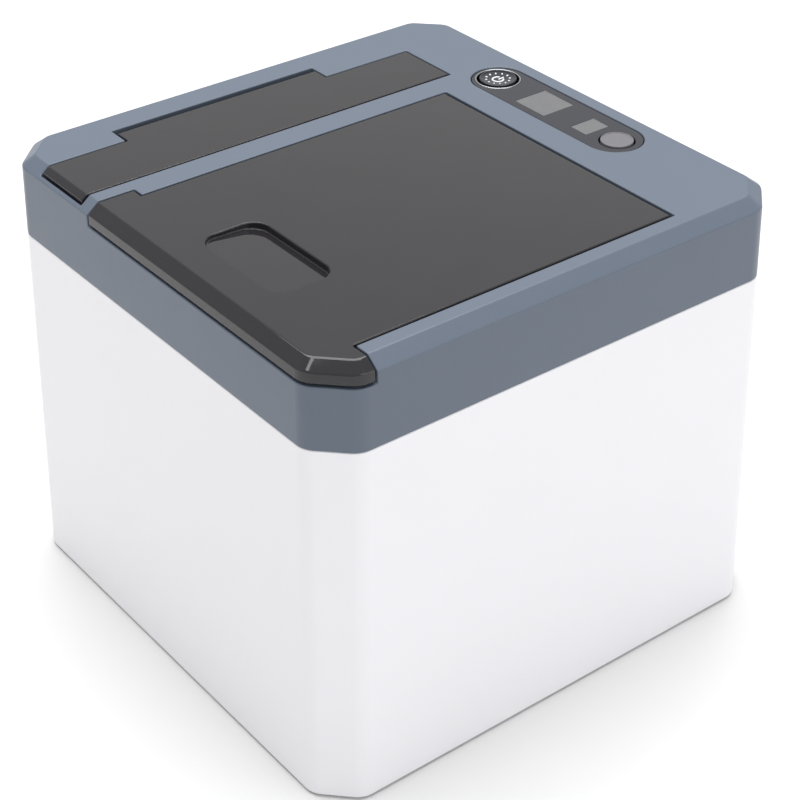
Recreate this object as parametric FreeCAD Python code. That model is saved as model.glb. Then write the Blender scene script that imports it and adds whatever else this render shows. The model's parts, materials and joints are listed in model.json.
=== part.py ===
"""Desktop receipt printer: an eight-cornered plastic case with a drop-in paper roll.

Units are millimetres.  +Z is up, the paper leaves at the front (-Y), the control
panel is along the rear edge of the top and the sockets are in the rear wall (+Y).
The origin is on the surface the printer stands on, under the middle of the case.
"""
import FreeCAD, Part
import math
import os

V = FreeCAD.Vector
X_AXIS = V(1, 0, 0)
Y_AXIS = V(0, 1, 0)
Z_AXIS = V(0, 0, 1)

# ---- case ----------------------------------------------------------------------
case_width = 95.0          # X, across the walls at the base
case_depth = 95.0          # Y, across the walls at the base
case_height = 80.0         # base edge to top face
foot_proud = 0.5           # how far the rubber feet lift the base
wall_draft = 1.8           # how far each wall leans in from base to top
corner_leg = 6.0           # plan chamfer at each upright corner
corner_round = 4.0         # rounding beside each corner chamfer
edge_inset = 2.3           # chamfer round the top, seen from above
edge_drop = 1.8            # the same chamfer, seen from the side
lid_inset = 1.9            # the door's and the side cover's own chamfer, from above
lid_drop = 1.45
split_height = 65.6        # where the grey top meets the white body, above the base
case_wall = 2.0
top_wall = 2.2
tongue_depth = 2.5         # rim of the top that reaches down inside the body
tongue_wall = 1.2
slip = 0.15                # clearance between fixed parts that slide together
apart = 0.3                # least clearance between parts that move past each other

# ---- top face, from right to left and from front to rear -------------------------
right_rail = 5.3           # top frame to the right of the door
bar_width = 5.7            # bridge between door and side cover
cover_width = 12.3
left_rail = 12.1           # top frame to the left of the side cover
rear_band = 21.0           # top frame behind the door, with the control panel
door_gap = 0.35            # gap round the sides of the door
rear_gap = 0.38            # gap behind the door, for its swinging edge

# ---- door ------------------------------------------------------------------------
door_wall = 2.0
skirt_wall = 1.8
skirt_drop = 3.3           # lower edge of the front skirt, below the top face
paper_slot = 0.5           # opening under the skirt
ear_length = 8.5           # the wide front end of the door, from the front wall back
ear_step = 2.3             # how much wider it is on the left
door_edge_round = 0.6      # rear upper edge, so that it clears the frame
hinge_setback = 1.35       # pin to the rear edge of the door
hinge_drop = 1.3           # pin to the top face
hinge_barrel = 1.25        # radius
hinge_pin_radius = 0.6
running = 0.05             # radial clearance of a pin or shaft in its bore
cheek_wall = 2.2           # blocks of the top case that hold the hinge pin
cheek_ahead = 3.5          # pin to the front of a cheek
cheek_behind = 5.8         # pin to its rear
cheek_below = 4.5
grip_width = 21.0          # finger recess in the door, along X
grip_length = 11.0
grip_round = 3.0
grip_from_front = 7.8      # front wall to the recess
grip_from_left = 17.5      # left edge of the door to the recess
grip_deep = 1.3            # depth at its rear wall
grip_shallow = 0.45        # depth at its front wall
rib_width = 1.2
rib_height = 1.2

# ---- side cover and the tray under it ----------------------------------------------
cover_wall = 1.8
cover_front = 0.9          # grey rim left in front of the cover
cover_rear = 15.7          # top frame behind the cover
cover_gap = 0.3
notch_front = 17.0         # front wall to the finger notch
notch_length = 40.8
notch_width = 4.75
finger_gap = 1.4           # gap at the outer side of the cover's tab
tray_depth = 7.5
tray_wall = 1.2
hook_wall = 1.0
hook_length = 6.0
hook_reach = 4.0           # below the cover's underside
settings_size = (9.0, 32.0)
mode_size = (3.6, 8.6, 2.6)
mode_slot = (1.8, 4.8, 1.0)
mode_lever = (1.2, 1.8, 1.5)
mode_from_middle = 10.0    # ahead of the middle of the case
mode_travel = 2.0
reset_size = (6.0, 6.0, 2.0)
reset_radius = 1.6
reset_height = 1.6
reset_floor = 0.6
reset_from_middle = 5.0    # behind the middle of the case
reset_travel = 0.5

# ---- control panel -----------------------------------------------------------------
panel_length = 39.4
panel_width = 9.9
panel_from_rear = 9.9      # rear wall to the middle line of the panel
panel_shift = 0.6          # middle of the panel, right of the case's middle
panel_sunk = 0.15
flange_wall = 1.0
flange_margin = 1.2
power_x = -15.2            # button and window centres, from the panel's middle
feed_x = 15.5
status_x = -2.8
link_x = 8.8
power_radius = 3.3
power_ring_width = 0.5
feed_radius = 2.8
status_size = (7.4, 6.8)
link_size = (3.8, 5.1)
button_proud = 0.25
button_travel = 0.6
button_round = 0.35        # rounding of a button's rim
button_flange = 0.9        # collar that keeps a button in, width and height
button_stem = 1.4          # radius
button_board_drop = 8.0    # underside of the top to the buttons' board
button_board_width = 10.0
switch_size = 6.0
switch_body = 2.4          # height
switch_height = 3.1        # with its plunger
lamp_size = (1.6, 1.2, 0.8)
lamp_offset = 1.6          # status lamps, either side of their window's middle
pillar_radius = 3.0
pillar_away = 4.6          # end of the panel to the middle of a pillar
board_thickness = 1.2
small_screw = (1.8, 1.0)   # head and shank radius

# ---- printing mechanism --------------------------------------------------------------
platen_back = 10.0         # front wall at the top to the platen's axis
platen_drop = 7.5          # top face to the platen's axis
platen_radius = 4.5
shaft_radius = 2.0
journal_radius = 1.5
bush_radius = 2.6
arm_wall = 1.5
arm_radius = 3.8
gear_module = 0.5
gear_width = 1.9
platen_teeth = 18
small_teeth = 14
large_teeth = 24
pinion_teeth = 12
head_angle = 30.0          # head faces the platen this far above level
head_thickness = 0.8
head_length = 8.5
heatsink_thickness = 1.6
bracket_wall = 1.0
bracket_down = 3.6         # upper edge of the springs' bracket, along the head
bracket_length = 4.4
spring_down = 5.8          # middle of the springs, along the head
spring_turns = 4
spring_radius = 1.4
spring_wire = 0.2          # half the side of the springs' square wire
frame_wall = 1.2
motor_radius = 7.0
motor_length = 13.0
motor_shaft_radius = 1.0
axle_radius = 1.0
axle_ahead = 0.3           # the compound gear's axle, behind the platen's
clip_radius = 1.9
blade_teeth = 48
blade_tooth = 0.8          # depth of a tooth of the tear bar
blade_wall = 0.5
blade_length = 4.5
sensor_size = (6.0, 4.0, 5.0)
door_switch_size = (4.0, 6.5, 10.8)

# ---- paper bin, base and electronics ---------------------------------------------------
mechanism_depth = 17.6     # front wall at the top to the bin
bin_wall = 1.5
bin_floor = 20.5           # underside of the bin
base_wall = 2.0
ledge = 1.2
foot_radius = 4.8
foot_sunk = 0.8
foot_inset = 15.0          # base edge to a foot's middle
post_size = 12.0           # corner posts that the screws go into
screw_inset = 8.5          # base edge to a corner screw
screw_radius = 1.3
screw_head_radius = 2.5
screw_head_height = 1.5
standoff = 3.5
circuit_board = 1.6
jack_size = (9.0, 14.0, 11.0)
usb_size = (12.0, 16.0, 11.0)
jack_x = -26.0
usb_x = -8.0
ribbon_x = 4.0             # middle of the head's flat cable
ribbon_width = 16.0
ribbon_thickness = 0.3
ribbon_socket = (18.0, 4.0, 3.0)
chip_places = [(22, 18, 12, 12, 1.6), (42, 26, 7, 9, 1.5), (38, 10, 6, 5, 1.4), (12, 34, 5, 6, 1.4)]
can_radius = 3.0
can_height = 8.5
can_pitch = 8.0
buzzer_radius = 4.5
buzzer_height = 5.5

# ---- places worked out from the sizes above ----------------------------------------------
base_z = foot_proud
top_z = base_z + case_height
split_z = base_z + split_height
half_top_x = case_width / 2 - wall_draft
half_top_y = case_depth / 2 - wall_draft
under_top = top_z - top_wall
far = case_width + case_depth

door_right = half_top_x - right_rail
cover_left = -half_top_x + left_rail
cover_right = cover_left + cover_width
door_left = cover_right + bar_width
door_rear = half_top_y - rear_band
front = -half_top_y
ear_rear = front + ear_length
skirt_z = top_z - skirt_drop
hinge_y = door_rear - hinge_setback
hinge_z = top_z - hinge_drop

platen_y = front + platen_back
platen_z = top_z - platen_drop
carrier_left = door_left + 0.4
carrier_right = door_right - 4.2
roller_left = carrier_left + arm_wall + 0.4
roller_right = carrier_right - arm_wall - 0.4
gear_x = carrier_right + 0.5
outer_gear_x = gear_x + gear_width + 0.4

bin_front = front + mechanism_depth
bin_left = door_left + 1.0
bin_right = door_right - 1.0
bin_rear = door_rear + 1.2
bin_radius = (bin_rear - bin_front) / 2 - bin_wall
bin_y = (bin_rear + bin_front) / 2
bin_z = base_z + bin_floor + bin_wall + bin_radius

panel_y = half_top_y - panel_from_rear
button_board_z = under_top - button_board_drop
board_z = base_z + base_wall + standoff


# ---- shapes used many times ------------------------------------------------------------
def box(x0, x1, y0, y1, z0, z1):
    return Part.makeBox(x1 - x0, y1 - y0, z1 - z0, V(x0, y0, z0))


def standing(x, y, z, size):
    """Block of a given length, width and height on the point (x, y, z)."""
    return box(x - size[0] / 2, x + size[0] / 2, y - size[1] / 2, y + size[1] / 2, z, z + size[2])


def rod(radius, start, axis, length):
    return Part.makeCylinder(radius, length, start, axis)


def tube(outer, inner, start, axis, length):
    return rod(outer, start, axis, length).cut(rod(inner, start, axis, length))


def polygon_face(points):
    return Part.Face(Part.makePolygon(points + [points[0]]))


def across(profile, x0, x1):
    """Bar along X over a side profile of (y, z) points."""
    return polygon_face([V(x0, y, z) for y, z in profile]).extrude(V(x1 - x0, 0, 0))


def rounded_block(x0, x1, y0, y1, z0, z1, radius):
    block = box(x0, x1, y0, y1, z0, z1)
    upright = [e for e in block.Edges if abs(e.tangentAt(e.FirstParameter).z) > 0.99]
    return block.makeFillet(radius, upright)


def stadium(length, width, x, y, z0, z1):
    """Block with two straight sides and two half-round ends."""
    reach = (length - width) / 2
    middle = box(x - reach, x + reach, y - width / 2, y + width / 2, z0, z1)
    for side in (-1, 1):
        middle = middle.fuse(rod(width / 2, V(x + side * reach, y, z0), Z_AXIS, z1 - z0))
    return middle.removeSplitter()


def joined(shapes):
    return shapes[0].fuse(shapes[1:]).removeSplitter()


def group(shapes):
    """Several separate solids that share one file."""
    return Part.makeCompound(shapes)


def mirrored_places(x, y):
    return [(sx * x, sy * y) for sx in (-1, 1) for sy in (-1, 1)]


def plan(inset, z, lean_z):
    """Eight plan corners of the case at height z, leaning as at lean_z, moved in."""
    lean = wall_draft * (lean_z - base_z) / case_height + inset
    hx = case_width / 2 - lean
    hy = case_depth / 2 - lean
    leg = corner_leg - (2 - math.sqrt(2)) * inset
    right = [V(hx, -hy + leg, z), V(hx, hy - leg, z), V(hx - leg, hy, z), V(-hx + leg, hy, z)]
    return right + [V(-p.x, -p.y, z) for p in right]


def tapered(lower, upper, radius):
    """Solid between two outlines of the same shape, its sloping corners rounded."""
    count = len(lower)
    faces = [polygon_face(lower[::-1]), polygon_face(upper)]
    for i in range(count):
        j = (i + 1) % count
        faces.append(polygon_face([lower[i], lower[j], upper[j], upper[i]]))
    shell = Part.makeShell(faces)
    shell.sewShape()
    solid = Part.makeSolid(shell)
    height = upper[0].z - lower[0].z
    slanted = [e for e in solid.Edges if e.BoundBox.ZLength > 0.9 * height]
    return solid.makeFillet(radius, slanted)


def case_form(inset, z0, z1):
    """The case's leaning walls, moved in by inset, between two heights."""
    radius = max(corner_round - inset, 0.5)
    return tapered(plan(inset, z0, z0), plan(inset, z1, z1), radius)


def outer_form(z0, inset=edge_inset, drop=edge_drop):
    """The outside of the case from z0 up to its chamfered top face."""
    reach = 3.0
    low_z = top_z - reach * drop
    low = plan(inset * (1 - reach), low_z, top_z)
    crown = tapered(low, plan(inset, top_z, top_z), corner_round)
    walls = case_form(0, z0, top_z)
    if z0 < low_z:
        wide = case_form(-1.0, z0 - 1.0, low_z)
        crown = crown.fuse(wide)
    return walls.common(crown)


def corner_posts(z0, z1, inset, gear_side=True):
    """Blocks that fill the corners between two heights, with or without the gears' corner."""
    solid = case_form(inset, z0, z1)
    if not gear_side:
        solid = solid.cut(box(0, far, -far, 0, z0, z1))
    hx = case_width / 2 - post_size
    hy = case_depth / 2 - post_size
    middle = box(-hx, hx, -far, far, z0, z1).fuse(box(-far, far, -hy, hy, z0, z1))
    return solid.cut(middle)


def screw(head, length, head_radius=screw_head_radius, radius=screw_radius):
    """Pan-head screw with a cross recess, pointing up from the underside of its head."""
    shape = rod(head_radius, head - V(0, 0, screw_head_height), Z_AXIS, screw_head_height)
    shape = shape.fuse(rod(radius, head, Z_AXIS, length))
    low = head.z - screw_head_height
    slot = head_radius * 0.6
    for dx, dy in ((slot, 0.25), (0.25, slot)):
        shape = shape.cut(box(head.x - dx, head.x + dx, head.y - dy, head.y + dy, low, low + 0.8))
    return shape


def gear(teeth, y, z, x, width, towards, gap_there=False):
    """Involute spur gear with its axis along X.

    towards is the direction, in the Y-Z plane, where a tooth (or a gap) points.
    """
    pitch = gear_module * teeth / 2
    base = pitch * math.cos(math.radians(20))
    tip = pitch + gear_module * 0.95
    root = pitch - gear_module * 1.25
    half_tooth = math.pi / (2 * teeth) * 0.9
    turn = towards + (math.pi / teeth if gap_there else 0)

    def roll(radius):
        t = math.sqrt(max((radius / base) ** 2 - 1, 0))
        return t - math.atan(t)

    radii = [max(base, root) + (tip - max(base, root)) * k / 4 for k in range(5)]
    flank = [(root, half_tooth + roll(pitch))]
    flank += [(r, half_tooth + roll(pitch) - roll(r)) for r in radii if r > root]
    outline = []
    for tooth in range(teeth):
        centre = turn + tooth * 2 * math.pi / teeth
        outline += [(r, centre - a) for r, a in flank]
        outline += [(r, centre + a) for r, a in reversed(flank)]
    points = [V(x, y + r * math.cos(a), z + r * math.sin(a)) for r, a in outline]
    return polygon_face(points).extrude(V(width, 0, 0))


def save(name, shape):
    if not shape.isValid():
        print("not valid:", name)
    shape.exportStep(os.path.join("parts", name + ".step"))


# ---- plan regions that neighbours share ---------------------------------------------------
def door_region(gap, gap_rear, z0):
    """Everything above z0 that belongs to the door, grown by the gaps."""
    main = box(door_left - gap, door_right + gap, front - far, door_rear + gap_rear, z0, top_z + 1)
    ears = box(door_left - ear_step - gap, far, front - far, ear_rear + gap, z0, top_z + 1)
    return main.fuse(ears)


def cover_region(gap, finger, z0):
    """Everything above z0 that belongs to the side cover, grown by the gaps."""
    rear = half_top_y - cover_rear
    notch_y = front + notch_front
    main = box(cover_left - gap, cover_right + gap, front + cover_front - gap, rear + gap,
               z0, top_z + 1)
    tab = box(cover_left - notch_width + finger_gap - finger, cover_left + 1,
              notch_y - gap, notch_y + notch_length + gap, z0, top_z + 1)
    return main.fuse(tab)


# ---- case parts ------------------------------------------------------------------------
def make_body_shell():
    shell = case_form(0, base_z, split_z).cut(case_form(case_wall, base_z - 1, split_z + 1))
    floor_z = base_z + base_wall
    rim = case_form(case_wall - 0.5, floor_z, floor_z + 1.5)
    rim = rim.cut(case_form(case_wall + ledge, floor_z - 1, floor_z + 3))
    posts = corner_posts(floor_z, floor_z + 12, case_wall - 0.5)
    high_posts = corner_posts(split_z - tongue_depth - 9, split_z - tongue_depth - 0.2,
                              case_wall - 0.5, False)
    shelf_y = wall_inside(frame_z)
    shelf = box(frame_left, frame_right, shelf_y - 0.5, shelf_y + 7, frame_z - 2, frame_z)
    shell = joined([shell, rim, posts, high_posts, shelf])
    for x, y in corner_screws:
        shell = shell.cut(rod(screw_radius, V(x, y, floor_z - 1), Z_AXIS, 11))
    for x, y in top_screw_places:
        shell = shell.cut(rod(screw_radius + slip, V(x, y, split_z - 20), Z_AXIS, 20))
    for x in frame_screw_x:
        shell = shell.cut(rod(1.0, V(x, frame_screw_y, frame_z - 3), Z_AXIS, 4))
    for x, size in ((jack_x, jack_size), (usb_x, usb_size)):
        half = size[0] / 2 + 0.4
        low = board_z + circuit_board
        shell = shell.cut(box(x - half, x + half, case_depth / 4, far,
                              low - 0.2, low + size[2] + 0.4))
    return shell


def wall_inside(z):
    """Y of the front wall's inner face at height z."""
    return -case_depth / 2 + wall_draft * (z - base_z) / case_height + case_wall


def make_top_case():
    shell = outer_form(split_z).cut(case_form(case_wall, split_z - 1, under_top))
    low = split_z - tongue_depth
    tongue = case_form(case_wall + slip, low, split_z + 0.2)
    tongue = tongue.fuse(case_form(case_wall - 0.2, split_z, split_z + 1.5))
    tongue = tongue.cut(case_form(case_wall + slip + tongue_wall, low - 1, split_z + 3))
    tongue = tongue.cut(box(frame_left - 1, far, -far, frame_rear + 3, low - 1, split_z + 3))
    posts = corner_posts(low, split_z + 5, case_wall + slip, False)
    tray = cover_region(tray_wall + cover_gap, finger_gap + tray_wall, top_z - tray_depth - tray_wall)
    inside = case_form(case_wall - 0.5, split_z, under_top + 0.5)
    tray = tray.common(inside)
    cheeks = []
    for x0, x1 in ((door_left - door_gap - cheek_wall, door_left - door_gap),
                   (door_right + door_gap, door_right + door_gap + cheek_wall)):
        cheeks.append(box(x0, x1, hinge_y - cheek_ahead, hinge_y + cheek_behind,
                          hinge_z - cheek_below, under_top + 0.5))
    pillars = [tube(pillar_radius, small_screw[1], V(x, panel_y, button_board_z + board_thickness), Z_AXIS,
                    under_top - button_board_z - board_thickness + 0.5) for x in pillar_x]
    case = joined([shell, tongue, posts, tray] + cheeks + pillars)
    case = case.cut(cover_region(cover_gap, finger_gap, top_z - cover_wall - apart))
    case = case.cut(tray_hollow())
    case = case.cut(door_region(door_gap, rear_gap, skirt_z - paper_slot))
    case = case.cut(stadium(panel_length + 2 * slip, panel_width + 2 * slip,
                            panel_shift, panel_y, under_top - 1, top_z + 1))
    case = case.cut(rod(hinge_pin_radius, V(pin_left, hinge_y, hinge_z), X_AXIS, pin_length))
    for x in pillar_x:
        case = case.cut(rod(small_screw[1], V(x, panel_y, button_board_z), Z_AXIS, 7))
    for x, y in top_screw_places:
        case = case.cut(rod(screw_radius, V(x, y, low - 1), Z_AXIS, 8))
    return case


def tray_hollow():
    """The space under the side cover, with a ledge left for the cover's edge."""
    rear = half_top_y - cover_rear
    notch_y = front + notch_front
    main = box(cover_left + ledge, cover_right - ledge, wall_inside(top_z) + ledge, rear - ledge,
               top_z - tray_depth, top_z + 1)
    side = box(cover_left - notch_width, cover_left + 2 * ledge, notch_y - cover_gap,
               notch_y + notch_length + cover_gap, top_z - tray_depth, top_z + 1)
    return main.fuse(side)


def make_bottom_cover():
    plate = case_form(case_wall + slip, base_z, base_z + base_wall)
    pegs = [rod(2.4, V(x, y, base_z), Z_AXIS, base_wall + standoff) for x, y in board_screws]
    plate = joined([plate] + pegs)
    for x, y in corner_screws:
        plate = plate.cut(rod(screw_radius + slip, V(x, y, 0), Z_AXIS, 6))
        plate = plate.cut(rod(screw_head_radius + slip, V(x, y, 0), Z_AXIS,
                              base_z + screw_head_height + 0.1))
    for x, y in foot_places:
        plate = plate.cut(rod(foot_radius + slip, V(x, y, 0), Z_AXIS, base_z + foot_sunk))
    for x, y in board_screws:
        plate = plate.cut(rod(0.9, V(x, y, base_z + 1), Z_AXIS, 8))
    for k in range(-3, 4):
        plate = plate.cut(stadium(24, 1.6, 0, k * 4.0, base_z - 1, base_z + 4))
    return plate


def make_paper_door():
    door = outer_form(skirt_z, lid_inset, lid_drop).common(door_region(0, 0, skirt_z))
    door = door.cut(case_form(skirt_wall, skirt_z - 1, top_z - door_wall))
    centre_y = door_rear - door_edge_round
    centre_z = top_z - door_edge_round
    corner = box(door_left - 1, door_right + 1, centre_y, door_rear + 1, centre_z, top_z + 1)
    corner = corner.cut(rod(door_edge_round, V(door_left - 2, centre_y, centre_z), X_AXIS, far))
    door = door.cut(corner)
    width = door_right - door_left
    barrel = rod(hinge_barrel, V(door_left, hinge_y, hinge_z), X_AXIS, width)
    grip_x = door_left + grip_from_left
    grip_y = front + grip_from_front
    grip_end = grip_y + grip_length
    grip = rounded_block(grip_x, grip_x + grip_width, grip_y, grip_end,
                         top_z - 3, top_z + 1, grip_round)
    grip = grip.common(across([(grip_y - 1, top_z - grip_shallow), (grip_end + 1, top_z - grip_deep),
                               (grip_end + 1, top_z + 2), (grip_y - 1, top_z + 2)],
                              grip_x - 1, grip_x + grip_width + 1))
    ribs = [box(x - rib_width / 2, x + rib_width / 2, bridge_rear + 2, hinge_y - 4,
                top_z - door_wall - rib_height, top_z - 1) for x in rib_x]
    door = joined([door, barrel] + ribs).cut(grip)
    for x in carrier_screw_x:
        door = door.cut(rod(1.0, V(x, bridge_middle, top_z - door_wall - 1), Z_AXIS, 1.7))
    bore = rod(hinge_pin_radius + running, V(door_left - 1, hinge_y, hinge_z), X_AXIS, width + 2)
    return door.cut(bore)


def make_side_cover():
    low = top_z - cover_wall
    cover = outer_form(low - 1, lid_inset, lid_drop).common(cover_region(0, 0, low))
    rear = half_top_y - cover_rear
    hooks = []
    for x0 in (cover_left + ledge + apart, cover_right - ledge - apart - hook_wall):
        for y0 in (front + 8, rear - 8 - hook_length):
            hooks.append(box(x0, x0 + hook_wall, y0, y0 + hook_length, low - hook_reach, low + 0.5))
    return joined([cover] + hooks)


def make_platen_carrier():
    roof = top_z - door_wall
    bridge = box(carrier_left, carrier_right, bridge_front, bridge_rear, roof - 3, roof)
    parts = [bridge]
    for x0 in (carrier_left, carrier_right - arm_wall):
        low = platen_z - arm_radius
        arm = across([(platen_y, low), (platen_y + 3, low), (bridge_rear, roof - 3),
                      (bridge_rear, roof), (platen_y - arm_radius, roof),
                      (platen_y - arm_radius, platen_z)], x0, x0 + arm_wall)
        parts.append(arm)
        parts.append(rod(arm_radius, V(x0, platen_y, platen_z), X_AXIS, arm_wall))
    carrier = joined(parts)
    carrier = carrier.cut(rod(bush_radius, V(carrier_left - 1, platen_y, platen_z), X_AXIS, far))
    for x in carrier_screw_x:
        carrier = carrier.cut(rod(1.0, V(x, bridge_middle, roof - 4), Z_AXIS, 5))
    return carrier


# ---- where screws, pins and posts stand ---------------------------------------------------
corner_screws = mirrored_places(case_width / 2 - screw_inset, case_depth / 2 - screw_inset)
top_screw_places = [(x, y) for x, y in corner_screws if x < 0 or y > 0]
foot_places = mirrored_places(case_width / 2 - foot_inset, case_depth / 2 - foot_inset)
pillar_x = [panel_shift + side * (panel_length / 2 + pillar_away) for side in (-1, 1)]
pin_left = door_left - door_gap - cheek_wall
pin_length = door_right - door_left + 2 * (door_gap + cheek_wall)
bridge_front = platen_y + platen_radius + 1.0
bridge_rear = bridge_front + 5.0
bridge_middle = (bridge_front + bridge_rear) / 2
carrier_screw_x = [carrier_left + 7, carrier_right - 7]
rib_x = [door_left + (door_right - door_left) * k / 4 for k in (1, 2, 3)]
compound_y = platen_y + axle_ahead
gear_distance = gear_module * (platen_teeth + small_teeth) / 2
compound_z = platen_z - math.sqrt(gear_distance ** 2 - axle_ahead ** 2)
platen_mesh = math.atan2(platen_z - compound_z, platen_y - compound_y)
motor_y = compound_y
motor_z = compound_z - gear_module * (large_teeth + pinion_teeth) / 2
frame_left = carrier_left
frame_right = carrier_right
frame_z = motor_z - motor_radius - 0.8 - frame_wall
frame_front = motor_y - motor_radius + 0.3
frame_rear = motor_y + motor_radius - 0.6
frame_top = platen_z - arm_radius - 0.9
frame_screw_x = [frame_left + 8, frame_right - 22]
frame_screw_y = wall_inside(frame_z) + 3.5
board_left = -case_width / 2 + 13
board_right = case_width / 2 - 22
board_front = -case_depth / 2 + 20
board_rear = case_depth / 2 - case_wall - 2.5
board_screws = [(x, y) for x in (board_left + 3.5, board_right - 3.5)
                for y in (board_front + 3.5, board_rear - 3.5 - 15)]
bin_top = min(platen_z - arm_radius - 6, under_top - 6)
spring_x = [roller_left + 10, roller_right - 10]


# ---- head and its springs, placed along the head's own slope -------------------------------
slope = math.radians(head_angle)
face_away = (-math.cos(slope), -math.sin(slope))     # from the platen into the head
face_down = (math.sin(slope), -math.cos(slope))      # along the head, downwards
head_back = head_thickness + heatsink_thickness
room_ahead = platen_y - wall_inside(platen_z) - slip + bracket_down * face_down[0]
bracket_away = room_ahead / -face_away[0] - platen_radius - apart - bracket_wall
spring_length = bracket_away - head_back


def head_point(away, down):
    """(y, z) of a point given by its depth behind the head's face and its place along it."""
    reach = platen_radius + apart + away
    return (platen_y + face_away[0] * reach + face_down[0] * down,
            platen_z + face_away[1] * reach + face_down[1] * down)


def head_slab(x0, x1, away0, away1, down0, down1):
    corners = [head_point(away0, down0), head_point(away0, down1),
               head_point(away1, down1), head_point(away1, down0)]
    return across(corners, x0, x1)


def make_head_springs():
    springs = []
    height = spring_length - 2 * spring_wire - 0.05
    for x in spring_x:
        helix = Part.makeHelix(height / spring_turns, height, spring_radius - spring_wire)
        near = spring_radius - 2 * spring_wire
        section = [V(near, 0, -spring_wire), V(spring_radius, 0, -spring_wire),
                   V(spring_radius, 0, spring_wire), V(near, 0, spring_wire)]
        coil = Part.Wire(helix).makePipeShell([Part.makePolygon(section + section[:1])], True, True)
        y, z = head_point(head_back + spring_wire + 0.02, spring_down)
        turn = FreeCAD.Rotation(Z_AXIS, V(0, face_away[0], face_away[1]))
        coil.Placement = FreeCAD.Placement(V(x, y, z), turn)
        springs.append(coil)
    return group(springs)


# ---- build everything -----------------------------------------------------------------------
def case_parts():
    save("body_shell", make_body_shell())
    save("top_case", make_top_case())
    save("bottom_cover", make_bottom_cover())
    save("side_cover", make_side_cover())
    feet = []
    for x, y in foot_places:
        foot = rod(foot_radius, V(x, y, 0), Z_AXIS, foot_proud + foot_sunk)
        feet.append(foot.makeChamfer(0.3, [e for e in foot.Edges if e.BoundBox.ZMax < 0.01]))
    save("rubber_feet", group(feet))
    head_z = base_z + screw_head_height + 0.1
    save("base_screws", group([screw(V(x, y, head_z), 8.5) for x, y in corner_screws]))
    head_z = split_z - tongue_depth - 9
    save("top_screws", group([screw(V(x, y, head_z), 14) for x, y in top_screw_places]))


def door_parts():
    save("paper_door", make_paper_door())
    save("platen_carrier", make_platen_carrier())
    save("hinge_pin", rod(hinge_pin_radius, V(pin_left, hinge_y, hinge_z), X_AXIS, pin_length))
    length = roller_right - roller_left
    core = V(roller_left, platen_y, platen_z)
    roller = tube(platen_radius, shaft_radius, core, X_AXIS, length)
    save("platen_roller", roller)
    journal = V(carrier_left - 0.3, platen_y, platen_z)
    shaft = rod(shaft_radius, core - V(0.2, 0, 0), X_AXIS, length + 0.4)
    shaft = shaft.fuse(rod(journal_radius, journal, X_AXIS, gear_x + gear_width + 0.2 - journal.x))
    save("platen_shaft", shaft)
    bushes = [tube(bush_radius, journal_radius + running, V(x, platen_y, platen_z), X_AXIS, arm_wall)
              for x in (carrier_left, carrier_right - arm_wall)]
    save("platen_bushes", group(bushes))
    wheel = gear(platen_teeth, platen_y, platen_z, gear_x, gear_width, platen_mesh + math.pi, True)
    save("platen_gear", wheel.cut(rod(journal_radius, V(gear_x - 1, platen_y, platen_z), X_AXIS, 5)))
    under = top_z - door_wall - 3
    fixings = [screw(V(x, bridge_middle, under), 3.6, *small_screw) for x in carrier_screw_x]
    save("carrier_screws", group(fixings))


def drive_parts():
    wall = frame_wall
    frame = [box(frame_left, frame_right, frame_front, frame_rear, frame_z, frame_z + wall)]
    for x0 in (frame_left, frame_right - wall):
        frame.append(box(x0, x0 + wall, frame_front, frame_rear, frame_z, frame_top))
    frame = joined(frame)
    clear = motor_shaft_radius + running + 0.3
    frame = frame.cut(rod(clear, V(frame_right - 5, motor_y, motor_z), X_AXIS, 9))
    frame = frame.cut(rod(axle_radius, V(frame_right - 5, compound_y, compound_z), X_AXIS, 9))
    run_y = ribbon_run()
    frame = frame.cut(box(ribbon_x - ribbon_width / 2 - 1, ribbon_x + ribbon_width / 2 + 1,
                          run_y - 1, run_y + 1.3, frame_z - 1, frame_z + wall + 1))
    for x in frame_screw_x:
        frame = frame.cut(rod(1.0 + slip, V(x, frame_screw_y, frame_z - 1), Z_AXIS, 4))
    save("mechanism_frame", frame)
    screws = [screw(V(x, frame_screw_y, frame_z - 2), 3.6, *small_screw) for x in frame_screw_x]
    save("frame_screws", group(screws))

    motor_right = frame_right - wall
    can = rod(motor_radius, V(motor_right - motor_length, motor_y, motor_z), X_AXIS, motor_length)
    tail = rod(2.5, V(motor_right - motor_length - 1, motor_y, motor_z), X_AXIS, 1.5)
    bore = rod(motor_shaft_radius + running, V(motor_right - motor_length + 2, motor_y, motor_z),
               X_AXIS, motor_length)
    save("stepper_motor", can.fuse(tail).cut(bore))
    start = motor_right - motor_length + 3
    end = outer_gear_x + gear_width
    save("motor_shaft", rod(motor_shaft_radius, V(start, motor_y, motor_z), X_AXIS, end - start))
    up = math.atan2(compound_z - motor_z, compound_y - motor_y)
    pinion = gear(pinion_teeth, motor_y, motor_z, outer_gear_x, gear_width, up)
    bore = rod(motor_shaft_radius, V(outer_gear_x - 1, motor_y, motor_z), X_AXIS, 5)
    save("motor_pinion", pinion.cut(bore))

    small = gear(small_teeth, compound_y, compound_z, gear_x, gear_width + 0.4, platen_mesh)
    large = gear(large_teeth, compound_y, compound_z, outer_gear_x, gear_width, up + math.pi, True)
    bore = rod(axle_radius + running, V(gear_x - 1, compound_y, compound_z), X_AXIS, 9)
    save("compound_gear", small.fuse(large).cut(bore))
    axle_end = outer_gear_x + gear_width + 1.2
    save("gear_axle", rod(axle_radius, V(frame_right - wall, compound_y, compound_z), X_AXIS,
                          axle_end - frame_right + wall))
    clip_x = outer_gear_x + gear_width + apart
    save("axle_clip", tube(clip_radius, axle_radius, V(clip_x, compound_y, compound_z), X_AXIS, 0.5))


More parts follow.
